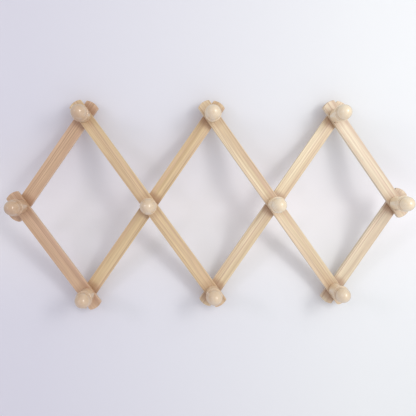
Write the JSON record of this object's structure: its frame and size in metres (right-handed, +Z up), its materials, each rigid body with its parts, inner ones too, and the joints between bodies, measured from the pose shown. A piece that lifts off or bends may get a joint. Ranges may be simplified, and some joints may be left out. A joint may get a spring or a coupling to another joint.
{
  "type": "accordion peg rack",
  "caption": "Wall mounted wooden accordion peg rack: crossed slats pinned as lazy tongs by turned pegs, folding from a tall stack to a long row.",
  "frame": {"origin": "half way between the two hanging holes, on the plane where the back slats meet the wall", "axes": "+X to the right along the wall, +Y into the wall, +Z up"},
  "size_m": [0.5947, 0.0635, 0.306],
  "materials": {
    "slat_wood": "planed pale pine, thin clear sealer, satin",
    "peg_wood": "turned pale birch, clear gloss lacquer",
    "washer_steel": "zinc plated, dull",
    "screw_steel": "zinc plated, slightly yellow"
  },
  "bodies": {
    "pivot_unit": {"peg_middle_left": "peg_wood", "washer_middle_left": "washer_steel", "screw_middle_left": "screw_steel"},
    "front_2": {"front_slat_2": "slat_wood", "peg_upper_left": "peg_wood", "washer_upper_left": "washer_steel", "screw_upper_left": "screw_steel", "peg_lower_centre": "peg_wood", "washer_lower_centre": "washer_steel", "screw_lower_centre": "screw_steel"},
    "back_2": {"back_slat_2": "slat_wood"},
    "front_1": {"front_slat_1": "slat_wood", "peg_middle_far_left": "peg_wood", "washer_middle_far_left": "washer_steel", "screw_middle_far_left": "screw_steel", "peg_lower_left": "peg_wood", "washer_lower_left": "washer_steel", "screw_lower_left": "screw_steel"},
    "front_3": {"front_slat_3": "slat_wood", "peg_upper_centre": "peg_wood", "washer_upper_centre": "washer_steel", "screw_upper_centre": "screw_steel", "peg_middle_right": "peg_wood", "washer_middle_right": "washer_steel", "screw_middle_right": "screw_steel", "peg_lower_right": "peg_wood", "washer_lower_right": "washer_steel", "screw_lower_right": "screw_steel"},
    "back_1": {"back_slat_1": "slat_wood"},
    "back_3": {"back_slat_3": "slat_wood"},
    "back_4": {"back_slat_4": "slat_wood"},
    "front_4": {"front_slat_4": "slat_wood", "peg_upper_right": "peg_wood", "washer_upper_right": "washer_steel", "screw_upper_right": "screw_steel", "peg_middle_far_right": "peg_wood", "washer_middle_far_right": "washer_steel", "screw_middle_far_right": "screw_steel"}
  },
  "joints": [
    {"name": "fold", "type": "hinge", "parent": "pivot_unit", "child": "front_2", "pos_m": [-0.07516, -0.0072, -0.10607], "axis": [0, 1, 0], "range_deg": [-49.68, 30.32]},
    {"name": "back_2_turn", "type": "hinge", "parent": "pivot_unit", "child": "back_2", "pos_m": [-0.07516, -0.0072, -0.10607], "axis": [0, 1, 0], "range_deg": [-30.33, 49.69]},
    {"name": "front_1_turn", "type": "hinge", "parent": "back_2", "child": "front_1", "pos_m": [-0.16766, -0.0072, -0.23663], "axis": [0, 1, 0], "range_deg": [-99.37, 60.65]},
    {"name": "front_3_turn", "type": "hinge", "parent": "back_2", "child": "front_3", "pos_m": [0.01734, -0.0072, 0.02448], "axis": [0, 1, 0], "range_deg": [-99.37, 60.65]},
    {"name": "back_1_turn", "type": "hinge", "parent": "front_2", "child": "back_1", "pos_m": [-0.16766, -0.0072, 0.02448], "axis": [0, 1, 0], "range_deg": [-60.65, 99.37]},
    {"name": "back_3_turn", "type": "hinge", "parent": "front_2", "child": "back_3", "pos_m": [0.01734, -0.0072, -0.23663], "axis": [0, 1, 0], "range_deg": [-60.65, 99.37]},
    {"name": "back_4_turn", "type": "hinge", "parent": "front_3", "child": "back_4", "pos_m": [0.20234, -0.0072, -0.23663], "axis": [0, 1, 0], "range_deg": [-60.65, 99.37]},
    {"name": "front_4_turn", "type": "hinge", "parent": "back_3", "child": "front_4", "pos_m": [0.20234, -0.0072, 0.02448], "axis": [0, 1, 0], "range_deg": [-99.37, 60.65]}
  ],
  "couplings": [
    {"joint": "back_2_turn", "follows": "fold", "ratio": -1},
    {"joint": "front_1_turn", "follows": "fold", "ratio": 2},
    {"joint": "front_3_turn", "follows": "fold", "ratio": 2},
    {"joint": "back_1_turn", "follows": "fold", "ratio": -2},
    {"joint": "back_3_turn", "follows": "fold", "ratio": -2},
    {"joint": "back_4_turn", "follows": "fold", "ratio": -2},
    {"joint": "front_4_turn", "follows": "fold", "ratio": 2}
  ]
}
